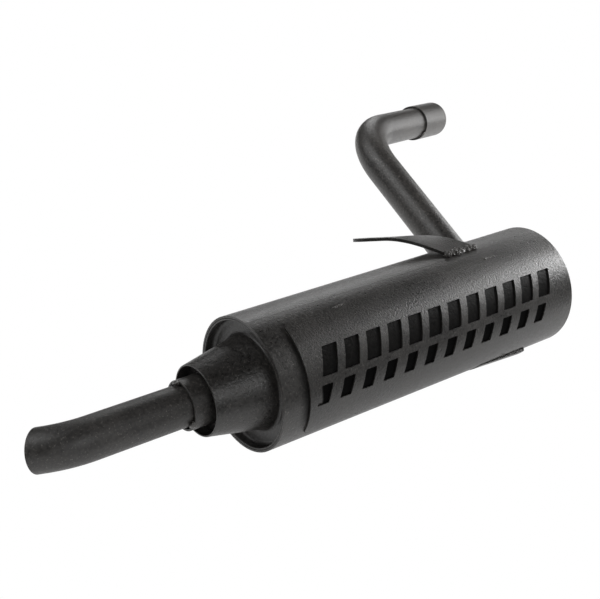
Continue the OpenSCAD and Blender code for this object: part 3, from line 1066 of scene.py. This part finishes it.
@dataclass
class Inlet:
    """The bent inlet pipe, its saddle weld, the slip socket and its thin bead."""

    layout: Layout
    pipes: PipeSizes
    inset: float = 62.5
    rise: float = 28.4
    lean: float = 4.3
    straight: float = 204.0
    bend_radius: float = 80.6
    heading: float = 19.6
    drop: float = 6.3
    leg: float = 84.3
    stub: float = 8.0
    shell_wall: float = 2.0
    socket_clearance: float = 0.4
    socket_wall: float = 2.2
    socket_length: float = 57.5
    grip: float = 15.0
    relief_length: float = 1.0
    relief_depth: float = 0.8
    bead: float = 3.1

    def __post_init__(self) -> None:
        """Works out the pipe's two directions and its bend."""
        rise, lean = math.radians(self.rise), math.radians(self.lean)
        drop, heading = math.radians(self.drop), math.radians(self.heading)
        flat = math.cos(rise)
        self.root = Vector((self.layout.length - self.inset, 0, 0))
        self.way = Vector((flat * math.sin(lean), flat * math.cos(lean), math.sin(rise)))
        self.leg_way = Vector(
            (math.cos(drop) * math.cos(heading), math.cos(drop) * math.sin(heading), -math.sin(drop))
        )
        self.turn = math.degrees(self.way.angle(self.leg_way))
        self.side = (self.leg_way - self.leg_way.dot(self.way) * self.way).normalized()

    def build(self, shop: Workshop) -> None:
        """Builds the inlet.

        Args:
            shop: The workshop.
        """
        start = self.layout.radius - self.shell_wall - self.stub
        tube = BentTube(
            self.pipes.radius, self.straight - start, self.bend_radius, self.turn, self.leg + self.grip
        )
        place = axes_at(self.root + start * self.way, self.way, self.side)
        skin = tube.mesh()
        bmesh.ops.transform(skin, matrix=place, verts=skin.verts)
        shop.piece("inlet_tube", skin, Finish.INLET, ["inlet_pipe"], wall=self.pipes.wall, edge=0.45)
        saddle = Bead(self.bead, spacing=1.0, ripple=0.16, ripple_pitch=3.2, lumps=0.2, seed=11)
        shop.piece("saddle_weld", saddle.mesh(self._saddle(150), True), Finish.WELD, ["inlet_weld"], edge=0)
        foot = place @ tube.end_place(self.leg)
        self._socket(shop, axes_at(foot.translation, self.leg_way, Vector((0, 0, 1))))

    def _saddle(self, count: int) -> list[tuple[Vector, Vector]]:
        """Follows the line where the pipe meets the shell.

        Args:
            count: How many places are wanted.

        Returns:
            Places on the line, and the direction out of both surfaces.
        """
        across = self.way.cross(self.side)
        path = []
        for i in range(count):
            turn = FULL_TURN * i / count
            out = math.cos(turn) * self.side + math.sin(turn) * across
            edge = self.pipes.radius * out
            a = self.way.y**2 + self.way.z**2
            b = self.way.y * edge.y + self.way.z * edge.z
            c = edge.y**2 + edge.z**2 - self.layout.radius**2
            place = self.root + edge + self.way * (math.sqrt(b * b - a * c) - b) / a
            path.append((place, out + Vector((0, place.y, place.z)).normalized()))
        return path

    def _socket(self, shop: Workshop, foot: Matrix) -> None:
        """Builds the slip socket and its thin bead.

        Args:
            shop: The workshop.
            foot: The frame at the socket's foot, with local X along the upper leg.
        """
        fit = self.pipes.radius + self.socket_clearance
        outside = fit + self.socket_wall
        grip_in, length = self.pipes.core_in, self.socket_length
        # The foot's inner edge is reamed, which leaves a dark groove round the pipe
        ream = outside - grip_in - 0.8
        relief, relief_end = fit + self.relief_depth, self.grip + self.relief_length
        outline = [(ream, grip_in), (self.grip, grip_in), (self.grip, relief), (relief_end, relief)]
        outline += [(relief_end, fit), (length, fit), (length, outside), (0, outside), (0, grip_in + ream)]
        socket = lathe(outline)
        bmesh.ops.transform(socket, matrix=foot, verts=socket.verts)
        shop.piece("socket", socket, Finish.INLET, ["inlet_socket"], edge=0.5)
        thin = Bead(1.0, ripple=0.1, lumps=0.1, spacing=1.0, seed=5)
        count = 120
        path = [
            (foot @ round_place(0.9, 360 * i / count, self.pipes.radius + 0.2), foot.to_3x3() @ out)
            for i in range(count)
            for out in [round_place(0, 360 * i / count, 1)]
        ]
        bead = thin.mesh(path, True)
        turn = foot.to_3x3().to_4x4() @ Matrix.Rotation(math.radians(30), 4, "X")
        place = foot @ round_place(-0.6, 30, self.pipes.radius + 1.2)
        lump(bead, place, Vector((2.0, 2.6, 2.0)), turn, 0.2, 2)
        shop.piece("socket_bead", bead, Finish.WELD, ["socket_weld"], edge=0)


@dataclass
class SidePlate:
    """The plate that hugs the canister's side, with two rows of slanted slots and its tack welds."""

    layout: Layout
    start: float = 27.0
    inset: float = 13.5
    wall: float = 1.5
    gap: float = 0.15
    top: float = 22.0
    bottom: float = 124.5
    corner: float = 6.4
    slots: int = 12
    lead: float = 23.5
    trail: float = 14.5
    slant: float = 17.5
    upper_width: float = 17.0
    lower_width: float = 13.0
    upper_row: tuple[float, float] = (50.0, 73.0)
    lower_row: tuple[float, float] = (79.5, 95.5)
    slot_corner: float = 0.9
    ragged: float = 0.35
    strip: float = 1.5
    near_tack: float = 64.0
    far_tack: float = 75.5
    tack_length: float = 17.0

    @property
    def length(self) -> float:
        """Length of the plate along the canister."""
        return self.layout.length - self.start - self.inset

    def arc_at(self, angle: float) -> float:
        """Distance round the shell from the plate's top edge to an angle."""
        return math.radians(angle - self.top) * self.layout.radius

    def build(self, shop: Workshop) -> None:
        """Builds the plate and its tack welds.

        Args:
            shop: The workshop.
        """
        flat = self._blank()
        self._wrap(flat)
        shop.piece("plate", flat, Finish.PLATE, ["side_plate"], wall=self.wall, outward=1, edge=0.5)
        parts = []
        ends = (self.start + self.near_tack, self.start + self.length - self.far_tack)
        for i, middle in enumerate(ends):
            for j, angle in enumerate((self.top, self.bottom)):
                weld = Bead(1.35, ripple=0.22, lumps=0.35, spacing=0.5, seed=4 * i + 9 * j)
                first = middle - self.tack_length / 2
                parts.append(weld.straight(first, self.tack_length, angle, self.layout.radius + 0.6))
        shop.piece("plate_tacks", join(parts), Finish.WELD, ["plate_tack_welds"], edge=0)

    def _blank(self) -> bmesh.types.BMesh:
        """Cuts the flat blank: X along the canister, Y down the plate from its top edge.

        Returns:
            The flat blank with its slots.
        """
        bm = bmesh.new()
        end, height = self.start + self.length, self.arc_at(self.bottom)
        self._loop(bm, [(self.start, 0), (end, 0), (end, height), (self.start, height)], self.corner, 8)
        pitch = (self.length - self.lead - self.trail - self.upper_width) / (self.slots - 1)
        tilt = math.tan(math.radians(self.slant))
        for width, (high, low) in ((self.upper_width, self.upper_row), (self.lower_width, self.lower_row)):
            above, below = self.arc_at(high), self.arc_at(low)
            lean = (below - above) / 2 * tilt
            middle = (above + below) / 2 - self.arc_at(self.upper_row[0])
            for i in range(self.slots):
                x = self.start + self.lead - middle * tilt + i * pitch
                corners = [(x + lean, above), (x + width + lean, above)]
                corners += [(x + width - lean, below), (x - lean, below)]
                self._loop(bm, corners, self.slot_corner, 3, ragged_from=below)
        bmesh.ops.delete(bm, geom=bm.faces[:], context="FACES_ONLY")
        bmesh.ops.triangle_fill(bm, use_beauty=True, edges=bm.edges[:], normal=(0, 0, 1))
        turns = int((self.bottom - self.top) / self.strip)
        for k in range(1, turns + 1):
            everything = bm.verts[:] + bm.edges[:] + bm.faces[:]
            down = height * k / (turns + 1)
            bmesh.ops.bisect_plane(bm, geom=everything, plane_co=(0, down, 0), plane_no=(0, 1, 0), dist=1e-4)
        return bm

    def _loop(
        self,
        bm: bmesh.types.BMesh,
        corners: Sequence[tuple[float, float]],
        radius: float,
        steps: int,
        ragged_from: Optional[float] = None,
    ) -> None:
        """Adds one outline with rounded corners.

        Args:
            bm: The blank.
            corners: Its four corners.
            radius: The rounding of its corners.
            steps: The chords of one corner.
            ragged_from: How far down its edge is torn by the cutting torch, if at all.
        """
        face = bm.faces.new([bm.verts.new((x, y, 0)) for x, y in corners])
        bmesh.ops.bevel(
            bm,
            geom=list(face.verts),
            offset=radius,
            offset_type="OFFSET",
            segments=steps,
            profile=0.5,
            affect="VERTICES",
            material=-1,
        )
        if ragged_from is None:
            return
        torn = [e for e in bm.edges if all(abs(v.co.y - ragged_from) < 1e-3 for v in e.verts)]
        torn = [e for e in torn if abs((e.verts[0].co.x + e.verts[1].co.x) / 2 - corners[3][0]) < 30]
        cut = bmesh.ops.subdivide_edges(bm, edges=torn, cuts=9)
        for vert in cut["geom_inner"]:
            if isinstance(vert, bmesh.types.BMVert):
                vert.co.y += self.ragged * noise.noise(vert.co * 0.9) * 1.6

    def _wrap(self, bm: bmesh.types.BMesh) -> None:
        """Rolls the blank round the shell and turns its faces outwards.

        Args:
            bm: The flat blank, which is rolled in place.
        """
        inside = self.layout.radius + self.gap
        for vert in bm.verts:
            angle = self.top + math.degrees(vert.co.y / self.layout.radius)
            vert.co = round_place(vert.co.x, angle, inside)
        face = next(iter(bm.faces))
        face.normal_update()
        middle = face.calc_center_median()
        if face.normal.dot(Vector((0, middle.y, middle.z))) < 0:
            bmesh.ops.reverse_faces(bm, faces=bm.faces)


@dataclass
class Hanger:
    """The twisted strap with its hanger hole, and the rough welds at its root."""

    layout: Layout
    width: float = 30.0
    thick: float = 3.2
    gap: float = 0.15
    inset: float = 109.0
    heading: float = 127.0
    arch: float = 75.0
    rise: float = 16.0
    fall: float = 8.0
    twist: float = 17.5
    tip: float = 34.0
    hole: float = 10.0
    hole_inset: float = 17.0
    weld_run_on: float = 3.5
    weld_lift: float = 1.0
    weld_angle: float = 1.6
    weld_wander: float = 0.9
    far_weld_length: float = 13.0

    def __post_init__(self) -> None:
        """Works out the strap's directions and the roll that lays its root along the canister."""
        heading, rise = math.radians(self.heading), math.radians(self.rise)
        self.level = Vector((math.cos(heading), math.sin(heading), 0))
        self.across = Vector((math.sin(heading), -math.cos(heading), 0))
        self.base = Vector(
            (self.layout.length - self.inset, 0, self.layout.radius + self.thick / 2 + self.gap)
        )
        self.arc_radius = self.arch / math.radians(self.rise + self.fall)
        # The root's plane holds the canister's direction, so its side edge isn't level
        self.root_roll = math.degrees(math.atan(math.sin(rise) / math.tan(heading)))

    def slope(self, run: float) -> float:
        """Slope at a distance along the strap, in degrees."""
        part = min(1.0, max(0.0, run / self.arch))
        return self.rise - (self.rise + self.fall) * part

    def point(self, run: float) -> Vector:
        """The middle of the strap at a distance along it."""
        inside = min(self.arch, max(0.0, run))
        first, now = math.radians(self.rise), math.radians(self.slope(inside))
        place = self.base + self.arc_radius * (math.sin(first) - math.sin(now)) * self.level
        place = place + self.arc_radius * (math.cos(now) - math.cos(first)) * Vector((0, 0, 1))
        return place + (run - inside) * self.way(run)

    def way(self, run: float) -> Vector:
        """The direction of the strap at a distance along it."""
        slope = math.radians(self.slope(run))
        return math.cos(slope) * self.level + math.sin(slope) * Vector((0, 0, 1))

    def side(self, run: float) -> Vector:
        """The direction across the strap at a distance along it."""
        part = min(1.0, max(0.0, run / self.arch))
        ease = 3 * part**2 - 2 * part**3
        roll = math.radians(self.root_roll + (self.twist - self.root_roll) * ease)
        up = self.across.cross(self.way(run))
        return math.cos(roll) * self.across - math.sin(roll) * up

    def build(self, shop: Workshop) -> None:
        """Builds the strap and its welds.

        Args:
            shop: The workshop.
        """
        strap = self._blank()
        for vert in strap.verts:
            run, off = vert.co.x, vert.co.y
            vert.co = self.point(run) + off * self.side(run)
        first = next(iter(strap.faces))
        first.normal_update()
        if first.normal.z < 0:
            bmesh.ops.reverse_faces(strap, faces=strap.faces)
        shop.piece("strap", strap, Finish.PLATE, ["hanger_strap"], wall=self.thick, outward=0, edge=0.6)
        self._welds(shop)

    def _blank(self) -> bmesh.types.BMesh:
        """Cuts the flat blank: X along the strap, Y across it.

        Returns:
            The flat blank with its hole.
        """
        bm = bmesh.new()
        half, end = self.width / 2, self.arch + self.tip
        root_way, root_side = self.way(0), self.side(0)
        cut = root_way.x / root_side.x * half
        corners = [(cut, half), (-cut, -half), (end, -half), (end, half)]
        face = bm.faces.new([bm.verts.new((x, y, 0)) for x, y in corners])
        tips = [v for v in face.verts if v.co.x > end - 1]
        bmesh.ops.bevel(
            bm,
            geom=tips,
            offset=half * 0.99,
            offset_type="OFFSET",
            segments=14,
            profile=0.5,
            affect="VERTICES",
            material=-1,
        )
        bmesh.ops.delete(bm, geom=bm.faces[:], context="FACES_ONLY")
        place = Matrix.Translation((end - self.hole_inset, 0, 0))
        bmesh.ops.create_circle(bm, segments=40, radius=self.hole / 2, matrix=place)
        bmesh.ops.triangle_fill(bm, use_beauty=True, edges=bm.edges[:], normal=(0, 0, 1))
        cuts = [((x, 0, 0), (1, 0, 0)) for x in range(-9, int(end), 3)]
        cuts += [((0, y, 0), (0, 1, 0)) for y in (-half / 2, 0.0, half / 2)]
        for place, facing in cuts:
            everything = bm.verts[:] + bm.edges[:] + bm.faces[:]
            bmesh.ops.bisect_plane(bm, geom=everything, plane_co=place, plane_no=facing, dist=1e-4)
        return bm

    def _welds(self, shop: Workshop) -> None:
        """Builds the rough welds along the strap's root.

        Args:
            shop: The workshop.
        """
        root_length = self.width / math.sin(math.radians(self.heading))
        start = self.base.x - root_length / 2 - self.weld_run_on
        near = Bead(
            2.9, ripple=0.25, ripple_pitch=4.0, lumps=0.5, lump_size=3.2, spacing=0.5, sides=20, seed=1
        )
        count = int((root_length + 9) / near.spacing)
        out = round_place(0, 12, 1)
        bead_radius = self.layout.radius + self.weld_lift
        bulge = [self.weld_wander * noise.noise(Vector((k * 0.11, 4.2, 0))) for k in range(count)]
        path = [
            (round_place(start + k * near.spacing, self.weld_angle + bulge[k], bead_radius), out)
            for k in range(count)
        ]
        weld = near.mesh(path)
        spots = ((0.3, 2.6), (0.42, 3.1), (0.55, 2.3), (0.72, 2.7), (0.93, 2.9))
        for i, (share, size) in enumerate(spots):
            place = round_place(start + share * (root_length + 7), 3.2, self.layout.radius + 0.8)
            lump(weld, place, Vector((size * 1.25, size, size * 0.8)), Matrix.Identity(4), 0.4, 3.7 * i)
        far = Bead(2.0, ripple=0.2, lumps=0.3, spacing=0.6, seed=8)
        reach = int(self.far_weld_length / far.spacing)
        path = []
        for k in range(reach):
            run = k * far.spacing
            corner = self.base + root_length / 2 * Vector((1, 0, 0)) + run * self.level
            angle = -math.degrees(math.asin(corner.y / self.layout.radius))
            path.append((round_place(corner.x + 1, angle, self.layout.radius + 0.7), Vector((1, 0, 1))))
        far_weld = far.mesh(path)
        shop.piece("strap_welds", join([weld, far_weld]), Finish.WELD, ["hanger_welds"], edge=0)


@dataclass
class Pad:
    """The thin wedge of plate under the canister, and its tack welds."""

    layout: Layout
    inset: float = 49.0
    length: float = 67.0
    start: float = 134.0
    end: float = 168.0
    thick: float = 3.5
    thin: float = 0.6
    gap: float = 0.15
    tack_length: float = 17.0
    tack_inset: float = 8.0

    def build(self, shop: Workshop) -> None:
        """Builds the pad and its tack welds.

        Args:
            shop: The workshop.
        """
        radius = self.layout.radius
        near = self.layout.length - self.inset - self.length
        bm = bmesh.new()
        low = radius + self.gap
        outline = [(near, low), (near + self.length, low), (near + self.length - 2, radius + self.thick)]
        outline.append((near, radius + self.thin))
        face = bm.faces.new([bm.verts.new(round_place(x, self.start, r)) for x, r in outline])
        turn = math.radians(self.end - self.start)
        bmesh.ops.spin(
            bm, geom=[face, *face.edges, *face.verts], cent=(0, 0, 0), axis=(1, 0, 0), angle=turn, steps=24
        )
        bmesh.ops.recalc_face_normals(bm, faces=bm.faces)
        shop.piece("pad", bm, Finish.PLATE, ["underside_pad"], edge=0.35)
        parts = []
        for i, angle in enumerate((self.start, self.end)):
            weld = Bead(1.2, ripple=0.2, lumps=0.3, spacing=0.5, seed=6 * i)
            first = near + self.length - self.tack_inset - self.tack_length
            parts.append(weld.straight(first, self.tack_length, angle, radius + 0.5))
        shop.piece("pad_tacks", join(parts), Finish.WELD, ["pad_welds"], edge=0)


@dataclass
class Packing:
    """The glass fibre wound round the core tube, and the bare steel pieces inside."""

    steel: tuple[str, ...] = ("core_tube", "baffle_plate", "baffle_collar", "spark_screen", "wool_ring")
    tuft: float = 9.0
    settle: float = 1.6

    def build(self, shop: Workshop, frame: dict, pipes: PipeSizes) -> None:
        """Builds the packing and dresses the steel.

        Args:
            shop: The workshop.
            pipes: The pipes' sizes.
        """
        for node in self.steel:
            shop.dress(frame, node, Finish.STEEL)
        low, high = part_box("glass_wool")
        origin = shop.layout.origin
        start, end = (low.x - origin.x) / MM, (high.x - origin.x) / MM
        outer = (high.y - low.y) / 2 / MM
        inner = pipes.core_in + pipes.core_wall + pipes.gap
        steps = 48
        length = end - start
        outline = [(start, inner), (end, inner)]
        outline += [(end - length * i / steps, outer) for i in range(steps + 1)]
        wool = lathe(outline, 96)
        for vert in wool.verts:
            flat = Vector((0, vert.co.y, vert.co.z))
            if flat.length > (inner + outer) / 2 and start + 1 < vert.co.x < end - 1:
                sag = self.settle * (0.5 + 0.5 * noise.fractal(vert.co / self.tuft, 0.9, 2.1, 4))
                vert.co -= flat.normalized() * min(self.settle * 2, max(0.0, sag))
        shop.piece("wool", wool, Finish.FIBRE, ["glass_wool"], edge=0)


# ---------------------------------------------------------------- stage
@dataclass(frozen=True)
class Glow:
    """A soft bright patch on the studio's walls."""

    toward: tuple[float, float, float]
    spread: float
    edge: float
    strength: float


@dataclass(frozen=True)
class Lamp:
    """A soft square lamp: its place from the middle of the canister and its side in metres, and its watts."""

    name: str
    offset: tuple[float, float, float]
    size: float
    power: float


@dataclass
class Studio:
    """The plain pale floor, the soft studio light and the camera."""

    layout: Layout
    floor_size: float = 60.0
    floor_gap: float = 0.0005
    floor_tone: float = 0.5
    floor_glow: float = 0.63
    backdrop: float = 0.95
    glows: tuple[Glow, ...] = (
        Glow((0.55, 0.7, 0.45), 7, 10, 3.4),
        Glow((0.91, 0.08, 0.41), 10, 14, 0.6),
        Glow((0.56, -0.66, 0.5), 14, 18, 0.2),
        Glow((-0.03, -0.91, 0.42), 9, 13, 3.1),
        Glow((-0.45, 0.54, 0.71), 14, 18, 1.9),
        Glow((-0.51, 0.13, 0.85), 11, 12, 2.6),
    )
    lamps: tuple[Lamp, ...] = (
        Lamp("end_lamp", (0.75, -0.25, 0.35), 0.3, 5.2),
        Lamp("socket_lamp", (0.68, 0.16, 0.21), 0.3, 0.8),
    )
    card_ahead: float = 0.1
    card_aside: float = 0.58
    card_lift: float = 0.004
    card_size: tuple[float, float] = (0.8, 0.4)
    camera_offset: tuple[float, float, float] = (-0.4913, -0.7102, 0.4551)
    camera_heading: float = 38.13
    camera_drop: float = 23.36
    camera_lens: float = 65.3

    def build(self) -> None:
        """Sets up the floor, the light and the camera."""
        self._floor()
        self._walls()
        for lamp in self.lamps:
            self._hang(lamp)
        self._flag()
        self._camera()

    def _floor(self) -> None:
        """Lays the floor just below the object's lowest point."""
        low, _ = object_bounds()
        bm = bmesh.new()
        place = Matrix.Translation((0, 0, low.z - self.floor_gap))
        bmesh.ops.create_grid(bm, x_segments=1, y_segments=1, size=self.floor_size / 2, matrix=place)
        floor = self._stage_object("floor", bm)
        made, graph = blank_material("pale_floor")
        seen = graph.node("ShaderNodeLightPath", output="Is Camera Ray")
        shown = graph.node("ShaderNodeEmission", None, {"Color": grey(1.0), "Strength": 1.0})
        lit = graph.node(
            "ShaderNodeBsdfPrincipled",
            None,
            {
                "Base Color": grey(self.floor_tone),
                "Roughness": 0.85,
                "Emission Color": grey(1.0),
                "Emission Strength": self.floor_glow,
            },
        )
        shader = graph.node("ShaderNodeMixShader", None, {0: seen, 1: lit, 2: shown})
        graph.node("ShaderNodeOutputMaterial", None, {"Surface": shader})
        floor.data.materials.append(made)

    def _stage_object(self, name: str, bm: bmesh.types.BMesh) -> bpy.types.Object:
        """Makes an object that isn't part of the exhaust.

        Args:
            name: Its name.
            bm: Its mesh, which is used up.

        Returns:
            The object.
        """
        mesh = bpy.data.meshes.new(name)
        bm.to_mesh(mesh)
        bm.free()
        made = bpy.data.objects.new(name, mesh)
        bpy.context.scene.collection.objects.link(made)
        made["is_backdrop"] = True
        return made

    def _walls(self) -> None:
        """Lights the studio's walls with soft patches."""
        world = bpy.data.worlds.new("studio")
        bpy.context.scene.world = world
        world.use_nodes = True
        graph = Graph(world.node_tree)
        way = graph.node("ShaderNodeTexCoord", output="Generated")
        level: Number = 0.0
        for glow in self.glows:
            toward = Vector(glow.toward).normalized()
            facing = graph.node(
                "ShaderNodeVectorMath", {"operation": "DOT_PRODUCT"}, {0: way, 1: toward}, "Value"
            )
            outer = math.cos(math.radians(glow.spread + glow.edge))
            inner = math.cos(math.radians(max(1.0, glow.spread - glow.edge / 2)))
            level = facing.ramp(outer, inner) * glow.strength + level
        seen = graph.node("ShaderNodeLightPath", output="Is Camera Ray")
        strength = (1 - seen) * level + seen * self.backdrop
        shader = graph.node("ShaderNodeBackground", None, {"Color": grey(1.0), "Strength": strength})
        graph.node("ShaderNodeOutputWorld", None, {"Surface": shader})

    def _hang(self, lamp: Lamp) -> None:
        """Hangs a lamp that faces the canister and that the camera doesn't see.

        Args:
            lamp: The lamp.
        """
        data = bpy.data.lights.new(lamp.name, "AREA")
        data.shape = "SQUARE"
        data.size = lamp.size
        data.energy = lamp.power
        hung = bpy.data.objects.new(lamp.name, data)
        bpy.context.scene.collection.objects.link(hung)
        hung.location = self._middle() + Vector(lamp.offset)
        hung.rotation_mode = "QUATERNION"
        hung.rotation_quaternion = (-Vector(lamp.offset)).to_track_quat("-Z", "Y")
        hung.visible_camera = False

    def _middle(self) -> Vector:
        """The middle of the canister, in metres."""
        return self.layout.origin + Vector((self.layout.length / 2 * MM, 0, 0))

    def _flag(self) -> None:
        """Lays a dark card beside the canister that only reflections see."""
        bm = bmesh.new()
        low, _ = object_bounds()
        place = Matrix.Translation(
            (self.card_ahead, self.layout.origin.y - self.card_aside, low.z + self.card_lift)
        )
        shape = Matrix.Diagonal((*self.card_size, 1, 1))
        bmesh.ops.create_grid(bm, x_segments=1, y_segments=1, size=1, matrix=place @ shape)
        card = self._stage_object("dark_card", bm)
        made, graph = blank_material("dark_card")
        shader = graph.node("ShaderNodeBsdfDiffuse", None, {"Color": grey(0.02)})
        graph.node("ShaderNodeOutputMaterial", None, {"Surface": shader})
        card.data.materials.append(made)
        card.visible_camera = False
        card.visible_diffuse = False
        card.visible_shadow = False
        card.visible_transmission = False

    def _camera(self) -> None:
        """Places the camera."""
        data = bpy.data.cameras.new("camera")
        data.lens = self.camera_lens
        data.sensor_width = 36
        camera = bpy.data.objects.new("camera", data)
        bpy.context.scene.collection.objects.link(camera)
        camera.location = self.layout.origin + Vector(self.camera_offset)
        turn = (math.radians(90 - self.camera_drop), 0, -math.radians(self.camera_heading))
        camera.rotation_euler = turn
        bpy.context.scene.camera = camera


def main() -> None:
    """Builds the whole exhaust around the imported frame."""
    logging.basicConfig(level=logging.INFO, format="%(name)s: %(message)s")
    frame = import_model()
    layout = Layout.from_frame()
    pipes = PipeSizes()
    shop = Workshop(layout)
    inlet = Inlet(layout, pipes)
    canister = Canister(layout, pipes)
    canister.build(shop, inlet)
    Outlet(canister.cap, pipes).build(shop)
    SidePlate(layout).build(shop)
    Hanger(layout).build(shop)
    inlet.build(shop)
    Pad(layout).build(shop)
    Packing().build(shop, frame, pipes)
    Studio(layout).build()
    bpy.context.scene.view_settings.view_transform = "Standard"


if __name__ == "__main__":
    main()
